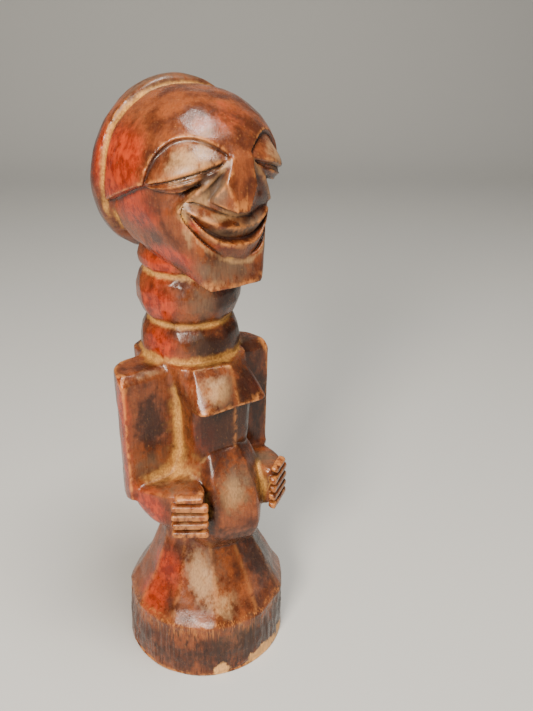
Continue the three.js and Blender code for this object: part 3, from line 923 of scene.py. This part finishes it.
# Where each colour blob lies: the middle of a blob, its reach along x, y and z, and its strength. The red,
# grey and ochre blobs are stains and dust, the darkening blobs are mostly painted shade with some dark
# stain, and the pale rubbed blobs are wear with one painted highlight
STAINS = {
    "red": [
        (-22, 6, 160, 9, 12, 11, 1.0),
        (0, -14, 172, 12, 8, 6, 0.35),
        (-21, -2, 164, 5, 6, 6, 0.7),
        (-18, 0, 148, 6, 10, 6, 0.7),
        (-11.2, -16, 147.6, 2.2, 2.5, 1.8, 1.0),
        (-5, -20, 142.5, 6, 3, 1.6, 0.5),
        (-13, -8, 138, 4, 9, 3, 1.0),
        (-9, -14, 133, 3, 5, 3, 0.6),
        (-13, 1, 133, 6, 8, 4, 0.8),
        (-14, 0, 122, 5, 8, 6, 1.0),
        (-14, 0, 110, 5, 8, 5, 0.9),
        (-28, -1, 95, 2.5, 5, 12, 0.9),
        (-28, 0, 75, 2.5, 6, 14, 0.7),
        (-23, -8, 62, 6, 7, 6, 1.0),
        (-6, -12, 84, 5, 4, 8, 0.6),
        (9, -15, 98, 4, 5, 4, 0.5),
        (-9.5, -9, 99, 2, 5, 6, 0.35),
        (-17, -4, 34, 7, 8, 8, 0.8),
        (-22, -4, 24, 6, 8, 6, 0.7),
        (20, 14, 158, 9, 14, 12, 0.6),
        (0, 30, 155, 16, 8, 14, 0.4),
        (20, 4, 90, 8, 8, 16, 0.4),
    ],
    "grey": [
        (-6.5, -19, 157, 3.5, 4, 4.5, 0.9),
        (-3, -17, 136, 9, 4, 5, 0.75),
        (-3, 12, 178, 16, 8, 5, 0.6),
        (5, -20, 148, 5, 4, 2, 0.6),
        (-1, -19, 146, 9, 4, 1.4, 1.0),
        (-4, -9, 123, 6, 4, 7, 0.6),
        (-5, -9, 110, 5, 4, 5, 0.6),
        (-2, -15, 99, 4, 4, 6, 0.6),
        (0, -20, 70, 7, 5, 7, 0.6),
        (-7, -16, 38, 6, 6, 8, 0.5),
        (-20, -4, 74, 7, 4, 5, 0.6),
        (-17, -12, 70, 7, 6, 2, 0.4),
        (15, -12, 70, 6, 6, 3, 0.8),
        (-2, -25, 12, 12, 6, 8, 0.5),
    ],
    # Pale wear from handling; the row for the right breast's bevel is a painted highlight.
    "rubbed_and_highlight": [
        (-13, -18, 164, 8, 6, 5, 0.9),
        (13, -16, 163, 5, 6, 5, 0.8),
        (-14, -15, 158.8, 6, 4, 1.3, 0.55),
        (-3, -21, 150.2, 10, 5, 1.6, 0.9),
        (-9.5, -16.5, 154.5, 3.5, 3, 2.4, 0.9),
        (-13, -14.2, 151, 1.8, 1.8, 2.5, 0.9),
        (-11.5, -14.8, 145.5, 1.6, 1.8, 3.5, 0.8),
        (-6, -18.5, 132, 7, 4, 2.2, 0.45),
        (-8, -17, 171, 6, 6, 4, 0.3),
        (-4, -15, 99, 5, 5, 5, 0.8),
        # Painted highlight: lightens the right breast's bevel so that it looks lit.
        (-9.5, -10, 99, 2, 5, 6, 0.3),
        (-19, -3, 103, 8, 3, 2, 0.5),
        (-2.5, -21, 67, 5, 4, 9, 0.7),
        (-16, -18, 62, 6, 5, 8, 0.5),
        (17, -17, 63, 5, 5, 8, 0.3),
        (-10, -13, 33, 4, 6, 11, 1.0),
        (-6, -20, 25, 5, 6, 5, 0.7),
    ],
    # Mostly painted shade, with some dark stain: under the right lower lid and the cap's edge, in the
    # mouth, under the chin and lips, beneath the breasts, between the arms and the body, low on the belly,
    # on the figure's left side away from the window light, and round the band
    "dark_stain_and_shade": [
        (-11, -16.5, 158.4, 4.5, 4, 1.6, 0.9),
        (-7.5, -19.5, 160.6, 3, 3, 1.3, 0.8),
        (12, -16, 157, 5, 5, 3, 0.6),
        (-1, -19.5, 146.2, 10, 5, 1.9, 0.55),
        (-21, 17, 160, 5, 6, 14, 0.5),
        (-3, 14, 178, 16, 8, 5, 0.5),
        (-11, -8, 136, 3, 8, 1.6, 0.6),
        (-7, -17, 139.5, 4, 4, 2.5, 0.6),
        (-16, -7, 151.5, 6, 6, 3.5, 0.5),
        (5, -8, 123, 8, 6, 7, 0.7),
        (-2, -9, 110, 10, 6, 4, 0.8),
        (10, -8, 111, 8, 8, 6, 0.8),
        (17, 0, 103, 6, 8, 4, 0.7),
        (7, -15, 99, 5, 6, 6, 0.95),
        (0, -13, 86, 12, 8, 10, 1.0),
        (4, -15, 58, 24, 14, 30, 0.4),
        (-19, -3, 88, 6, 3, 12, 0.85),
        (19, -3, 86, 5, 4, 16, 0.8),
        (-9, -17, 60, 3, 6, 7, 0.8),
        (2, -19, 48, 12, 8, 5, 0.7),
        (14, -15, 34, 10, 8, 14, 0.9),
        (0, 0, 8, 50, 50, 9, 0.7),
        (0, -24, 10, 24, 10, 9, 0.3),
        (18, -18, 10, 10, 10, 10, 0.6),
        (0, 30, 150, 20, 10, 20, 0.3),
    ],
    "ochre": [
        (-10.4, -3.5, 88, 1.3, 1.6, 18, 1.0),
        (-13, -3, 84, 4, 2.5, 13, 0.5),
        (-9.5, -19, 62, 1.5, 4, 9, 0.6),
        (-10, -6, 72, 5, 6, 4, 1.0),
        (-18, -5, 70, 9, 4, 2.5, 0.9),
        (-8.5, -10, 76, 3, 5, 3, 0.8),
        (10.8, -17, 66, 2.5, 6, 10, 0.9),
        (10.5, -5, 86, 3, 4, 14, 0.9),
        (-12.8, -14, 150, 2, 3, 3, 0.8),
        (-5, -18.5, 138.5, 6, 3, 1.2, 0.7),
        (-18, 14, 143, 5, 5, 5, 0.9),
        (-2, -17, 47, 8, 6, 1.5, 0.6),
        (0, -8, 104.8, 12, 5, 1.5, 0.9),
        (-14, 0, 104.6, 5, 8, 1.5, 0.7),
        (-2, -11, 104.8, 8, 3, 1.5, 0.8),
    ],
}


# Edges rubbed pale by handling, each a line through places
PALE_LINES = [
    [(-3.4, -22, 161), (-5, -22.2, 158.6), (-3, -24.3, 151.6)],
    [(3, -22, 161), (4.2, -22.2, 157.4), (0.5, -24.3, 151.5)],
    [(-4.8, -21.6, 158.2), (-7.6, -19, 153.9), (-3.2, -23.5, 151.8)],
    [(1.6, -13, 105), (1.6, -17.5, CHEST_EDGE)],
    [(3, -13.8, 92), (3, -13.8, 78)],
    FOLD,
]


def blobs(places, name):
    """How strongly a blob lies at each place (stains, dust and wear, and also painted shade and a painted
    highlight): bells round its middles, joined so that none passes 1.
    """
    left = np.ones(len(places))
    for row in STAINS[name]:
        apart = (places - row[0:3]) / row[3:6]
        left *= 1 - row[6] * np.exp(-(apart ** 2).sum(axis=1))
    return 1 - left


def paint_masks(mesh):
    """Where dust lies, where shade is painted into the hollows, where the edges are worn, and where each
    stain, painted shade and painted highlight lies.
    Hollows and proud edges are read from the blurred wood on the skin before the knife cuts."""
    places = vertex_places(mesh) / MM
    x, y, z = places.T
    out, steep = slope_at(places)
    sunk = -sample(CARVING.field, places) / np.maximum(steep, 0.4)
    uncut = places + out * np.clip(sunk, -0.5, 1.5)[:, None]
    fine = sample(blurred(0.8), uncut)
    broad = sample(blurred(2.4), uncut)
    hollow = np.maximum(smooth(fine, 0.55, 0.68), 0.8 * smooth(broad, 0.6, 0.8))
    around = np.sqrt(x ** 2 + (y - NECK_MIDDLE) ** 2)
    ring_lines = bump(z, 115.4, 1.3) + bump(z, 130.2, 1.3) + bump(z, NECK_FOOT, 1.8)
    ring_lines = ring_lines * smooth(-around, -20, -17)
    ochre = np.maximum(blobs(places, "ochre"), ring_lines)
    hairy = hair(x, y, z)
    crease = bump(dome(x, y, z) - hairy, 0, 0.75) * bump(hairy, 0, 2.0) * smooth(z, 141, 149)
    gathered = np.maximum(smooth(fine, 0.52, 0.62), smooth(broad, 0.49, 0.66))
    give(mesh, "dust", np.maximum(ochre * (0.35 + 0.65 * gathered), crease))
    # Painted shade: the hollows are darkened, except where dust lies.
    give(mesh, "shade", hollow * (1 - ochre) * (1 - crease))
    facet_edge = bump(CONE_PITCH / 2 - np.abs(cone_place(x, y, z)[2]), 0, 0.04)
    facet_edge = facet_edge * smooth(z, RIM_HEIGHT, RIM_HEIGHT + 2) * smooth(-z, -CONE_TOP, -CONE_TOP + 6)
    proud = np.maximum(smooth(-fine, -0.42, -0.34), smooth(-broad, -0.34, -0.26))
    edges = np.min([chain(line)(x, y, z) for line in PALE_LINES], axis=0)
    lines = np.maximum(0.5 * facet_edge, bump(edges, 0, 0.5))
    give(mesh, "wear", np.maximum(proud, 0.85 * lines))
    folded = np.minimum(chain(FOLD)(x, y, z), chain(corners_on(-1, FOLD))(x, y, z))
    border = bump(Mouth().measure(x, y, z)[1], 1.0, 0.8)
    border = border * smooth(-y, 10, 12) * smooth(-z, -147, -143)
    # Red and grey are stains; the third mask is mostly painted shade with some dark stain.
    for name in ("red", "grey", "dark_stain_and_shade"):
        give(mesh, name, blobs(places, name))
    # Pale wear along the folds and round the mouth, and the rubbed blobs, one of them a painted highlight.
    rubbed_and_highlight = [blobs(places, "rubbed_and_highlight"), bump(folded, 0, 0.9), 0.7 * border]
    give(mesh, "rubbed_and_highlight", np.max(rubbed_and_highlight, axis=0))
    feet = bump(x, 6, 6.5) + 0.8 * bump(x, -9, 3.0) + 0.7 * bump(x, 17, 3.0)
    give(mesh, "bare", feet * bump(z, 1.4, 3.4) * smooth(-y, 5, 12))


paint_masks(figure_mesh)
figure = bpy.data.objects.new("carved_figure", figure_mesh)
bpy.context.collection.objects.link(figure)
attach(figure, "root")
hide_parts("power_figure")


# Materials


def linear(code):
    """A colour written as sRGB hex, turned linear."""
    parts = [int(code[i:i + 2], 16) / 255 for i in (1, 3, 5)]
    return [p / 12.92 if p <= 0.04045 else ((p + 0.055) / 1.055) ** 2.4 for p in parts] + [1.0]


class Shader:
    """A material's node tree, and the ways to add to it."""

    def __init__(self, name):
        self.material = bpy.data.materials.new(name)
        self.material.use_nodes = True
        self.tree = self.material.node_tree
        self.surface = self.tree.nodes["Principled BSDF"]

    def add(self, kind, settings=None, links=None, values=None):
        """A node with its settings, the sockets linked to it and the values set on its own sockets."""
        node = self.tree.nodes.new("ShaderNode" + kind)
        for name, value in (settings or {}).items():
            setattr(node, name, value)
        for name, value in (values or {}).items():
            node.inputs[name].default_value = value
        for name, source in (links or {}).items():
            self.tree.links.new(source, node.inputs[name])
        return node

    def attribute(self, name):
        return self.add("Attribute", {"attribute_name": name}).outputs["Fac"]

    def stretched(self, source, scale):
        """Coordinates in millimetres divided by the size of the pattern along each axis."""
        return self.add("Mapping", {"vector_type": "POINT"}, {"Vector": source},
                        {"Scale": [1 / value for value in scale]}).outputs["Vector"]

    def noise(self, source, detail=3.0, rough=0.55):
        return self.add("TexNoise", {}, {"Vector": source},
                        {"Scale": 1.0, "Detail": detail, "Roughness": rough}).outputs["Fac"]

    def ramp(self, source, low, high, out_low=0.0, out_high=1.0):
        return self.add("MapRange", {"interpolation_type": "SMOOTHSTEP"}, {"Value": source},
                        {"From Min": low, "From Max": high, "To Min": out_low,
                         "To Max": out_high}).outputs["Result"]

    def math(self, operation, a, b):
        node = self.add("Math", {"operation": operation})
        for socket, value in zip(node.inputs, (a, b)):
            if isinstance(value, (int, float)):
                socket.default_value = value
            else:
                self.tree.links.new(value, socket)
        return node.outputs["Value"]

    def mix(self, factor, first, second):
        """Blends two colours; a colour is a socket or a hex code."""
        node = self.add("Mix", {"data_type": "RGBA"})
        for name, value in (("Factor", factor), ("A", first), ("B", second)):
            socket = [s for s in node.inputs if s.name == name and s.enabled][0]
            if isinstance(value, str):
                socket.default_value = linear(value)
            elif isinstance(value, (int, float)):
                socket.default_value = value
            else:
                self.tree.links.new(value, socket)
        return [s for s in node.outputs if s.enabled][0]

    def link(self, source, name):
        self.tree.links.new(source, self.surface.inputs[name])


def carved_wood():
    """Hard, fine-grained African wood with a red-brown stain, waxed and handled, dusty in the cuts."""
    s = Shader("waxed_stained_wood")
    metres = s.add("TexCoord").outputs["Object"]
    scaled = s.add("VectorMath", {"operation": "SCALE"}, {"Vector": metres}, {"Scale": 1000.0})
    place = scaled.outputs["Vector"]
    grain = s.noise(s.stretched(place, (0.4, 0.4, 8.0)), 4.0, 0.6)
    cloud = s.noise(s.stretched(place, (6.0, 6.0, 9.0)), 4.0, 0.6)
    mottle = s.noise(s.stretched(place, (2.2, 2.2, 3.0)), 5.0, 0.65)
    fleck = s.noise(s.stretched(place, (0.5, 0.5, 0.7)), 3.0, 0.6)
    names = ("dust", "shade", "wear", "red", "grey", "rubbed_and_highlight", "dark_stain_and_shade", "bare")
    dust, shade, wear, red, grey, rubbed_and_highlight, dark_stain_and_shade, bare = (s.attribute(name) for name in names)

    def ragged(mask, pattern, amount, low, high, most=1.0):
        """A mask whose edge follows a pattern instead of the blob's round outline."""
        moved = s.math("ADD", mask, s.math("MULTIPLY", s.math("SUBTRACT", pattern, 0.5), amount))
        inside = s.math("MULTIPLY", s.ramp(moved, low, high, 0.0, most), s.ramp(mask, 0.02, 0.2))
        return inside

    colour = s.mix(s.ramp(cloud, 0.35, 0.65), "#421c0e", "#783d1e")
    reds = s.mix(s.ramp(mottle, 0.35, 0.65), "#701505", "#b03610")
    colour = s.mix(ragged(red, cloud, 0.9, 0.15, 0.8, 0.9), colour, reds)
    olive = ragged(grey, mottle, 0.9, 0.1, 0.7, 0.85)
    colour = s.mix(olive, colour, "#5e4c3a")
    # Pale wear from handling, and a painted highlight on the right breast's bevel.
    pale = ragged(rubbed_and_highlight, mottle, 1.2, 0.2, 0.9, 0.75)
    colour = s.mix(pale, colour, "#a98256")
    # Painted shade, with some dark stain, from the darkening blobs.
    colour = s.mix(ragged(dark_stain_and_shade, mottle, 1.3, 0.2, 0.75, 0.9), colour, "#210b05")
    colour = s.mix(s.ramp(grain, 0.45, 0.75, 0.0, 0.5), colour, "#34170c")
    streak = s.math("MULTIPLY", s.ramp(grain, 0.3, 0.45, 0.25, 0.05), s.ramp(pale, 0.0, 0.6, 0.2, 1.0))
    colour = s.mix(streak, colour, "#c89468")
    colour = s.mix(s.ramp(fleck, 0.6, 0.75, 0.0, 0.3), colour, "#b8844c")
    height_up = s.add("SeparateXYZ", {}, {"Vector": place}).outputs["Z"]
    scratch = s.noise(s.stretched(place, (0.7, 0.7, 6.0)), 3.0, 0.6)
    low_down = s.ramp(height_up, 17.0, 21.0, 1.0, 0.0)
    scratched = s.math("MULTIPLY", low_down, s.ramp(scratch, 0.54, 0.66, 0.0, 0.75))
    colour = s.mix(scratched, colour, "#1e0c06")
    ochre_line = s.math("MULTIPLY", s.ramp(height_up, 13.0, 18.5), s.ramp(height_up, 20.5, 21.5, 1.0, 0.0))
    colour = s.mix(s.math("MULTIPLY", ochre_line, s.ramp(grain, 0.5, 0.62, 0.0, 0.6)), colour, "#b0703a")
    colour = s.mix(s.math("MULTIPLY", wear, s.ramp(mottle, 0.38, 0.6, 0.0, 0.7)), colour, "#c07a3e")
    # Painted shade in the hollows.
    colour = s.mix(s.math("MULTIPLY", shade, 0.8), colour, "#22100a")
    dusty = s.math("MULTIPLY", ragged(dust, mottle, 1.0, 0.15, 0.8), s.ramp(cloud, 0.3, 0.55, 0.5, 1.0))
    dust_colour = s.mix(s.ramp(fleck, 0.3, 0.7), "#96652e", "#cf9a4c")
    colour = s.mix(s.math("MULTIPLY", dusty, 0.8), colour, dust_colour)
    raw = s.math("MULTIPLY", ragged(bare, mottle, 1.0, 0.3, 0.5), s.ramp(grain, 0.3, 0.5, 0.4, 1.0))
    colour = s.mix(raw, colour, "#cf9a5e")
    s.link(colour, "Base Color")
    rough = s.ramp(mottle, 0.3, 0.7, 0.2, 0.36)
    rough = s.math("ADD", rough, s.math("MULTIPLY", dusty, 0.4))
    rough = s.math("ADD", rough, s.math("MULTIPLY", raw, 0.3))
    rough = s.math("ADD", rough, s.math("MULTIPLY", s.math("MAXIMUM", pale, olive), 0.2))
    s.link(rough, "Roughness")
    s.surface.inputs["Specular IOR Level"].default_value = 0.38
    height = s.math("ADD", s.math("MULTIPLY", grain, 0.5), s.math("MULTIPLY", fleck, 0.25))
    relief = s.add("Bump", {}, {"Height": height}, {"Strength": 0.3, "Distance": 0.0003})
    s.link(relief.outputs["Normal"], "Normal")
    return s.material


figure_mesh.materials.clear()
figure_mesh.materials.append(carved_wood())


# Floor, light and camera


def plain(name, code, roughness):
    s = Shader(name)
    s.surface.inputs["Base Color"].default_value = linear(code)
    s.surface.inputs["Roughness"].default_value = roughness
    return s.material


def make_floor():
    """A pale sheet of card: a level square that curves up behind the figure into an upright back."""
    across = np.linspace(-1.2, 1.2, 2)
    run = np.linspace(0, 1, 40)
    bend = 0.25
    flat_end, turn_end = 0.6, 0.8
    flat = np.minimum(run, flat_end) / flat_end
    turn = np.clip((run - flat_end) / (turn_end - flat_end), 0, 1) * math.pi / 2
    rise = np.maximum(run - turn_end, 0) / (1 - turn_end)
    back = flat * 1.3 - 0.6 + bend * np.sin(turn)
    height = bend * (1 - np.cos(turn)) + rise * 1.6
    points = np.stack([np.repeat(across, len(run)), np.tile(back, 2), np.tile(height, 2)], axis=1)
    first = np.arange(len(run) - 1)
    squares = np.stack([first, first + len(run), first + len(run) + 1, first + 1], axis=1)
    mesh = bpy.data.meshes.new("floor")
    heading = Matrix.Rotation(math.radians(-30.4), 3, "Z")
    fill_mesh(mesh, points @ np.array(heading).T, squares)
    mesh.polygons.foreach_set("use_smooth", np.ones(len(mesh.polygons), bool))
    floor = bpy.data.objects.new("floor", mesh)
    bpy.context.collection.objects.link(floor)
    mesh.materials.append(plain("pale_card", "#b4b4b1", 0.9))


def make_light(name, place, size, watts, code="#ffffff"):
    light = bpy.data.lights.new(name, "AREA")
    light.size = size
    light.energy = watts
    light.color = linear(code)[:3]
    lamp = bpy.data.objects.new(name, light)
    lamp.location = place
    lamp.rotation_euler = (Vector((0, 0, 0.1)) - Vector(place)).to_track_quat("-Z", "Y").to_euler()
    bpy.context.collection.objects.link(lamp)


def make_camera():
    """The camera stands where the picture was taken: its place and its turn were fitted to the figure."""
    azimuth, pitch, yaw, roll = (math.radians(value) for value in (-30.4, 26.0, 5.6, 1.2))
    away, height = 0.1975, 0.1994
    ahead = Vector((-math.sin(azimuth), math.cos(azimuth), 0))
    right = Vector((math.cos(azimuth), math.sin(azimuth), 0))
    turned = ahead * math.cos(yaw) + right * math.sin(yaw)
    across = right * math.cos(yaw) - ahead * math.sin(yaw)
    up = turned * math.sin(pitch) + Vector((0, 0, math.cos(pitch)))
    look = turned * math.cos(pitch) - Vector((0, 0, math.sin(pitch)))
    level = across * math.cos(roll) + up * math.sin(roll)
    upright = up * math.cos(roll) - across * math.sin(roll)
    camera = bpy.data.cameras.new("camera")
    camera.sensor_width = 36.0
    camera.lens = 36.0 * 740 / 711
    camera.clip_start = 0.01
    holder = bpy.data.objects.new("camera", camera)
    turn = Matrix((level, upright, -look)).transposed()
    holder.matrix_world = Matrix.Translation(-ahead * away + Vector((0, 0, height))) @ turn.to_4x4()
    bpy.context.collection.objects.link(holder)
    bpy.context.scene.camera = holder


make_floor()
make_light("window_light", (-0.45, -0.33, 0.42), 0.18, 8.8, "#fff4e6")
make_light("ceiling_light", (0.02, -0.16, 0.8), 0.28, 9.0, "#fffaf2")
make_light("fill_light", (0.7, -0.7, 0.4), 0.9, 0.6, "#eef3ff")
world = bpy.data.worlds.new("soft_room")
world.use_nodes = True
world.node_tree.nodes["Background"].inputs["Color"].default_value = linear("#e8e8e8")
world.node_tree.nodes["Background"].inputs["Strength"].default_value = 0.1
bpy.context.scene.world = world
make_camera()
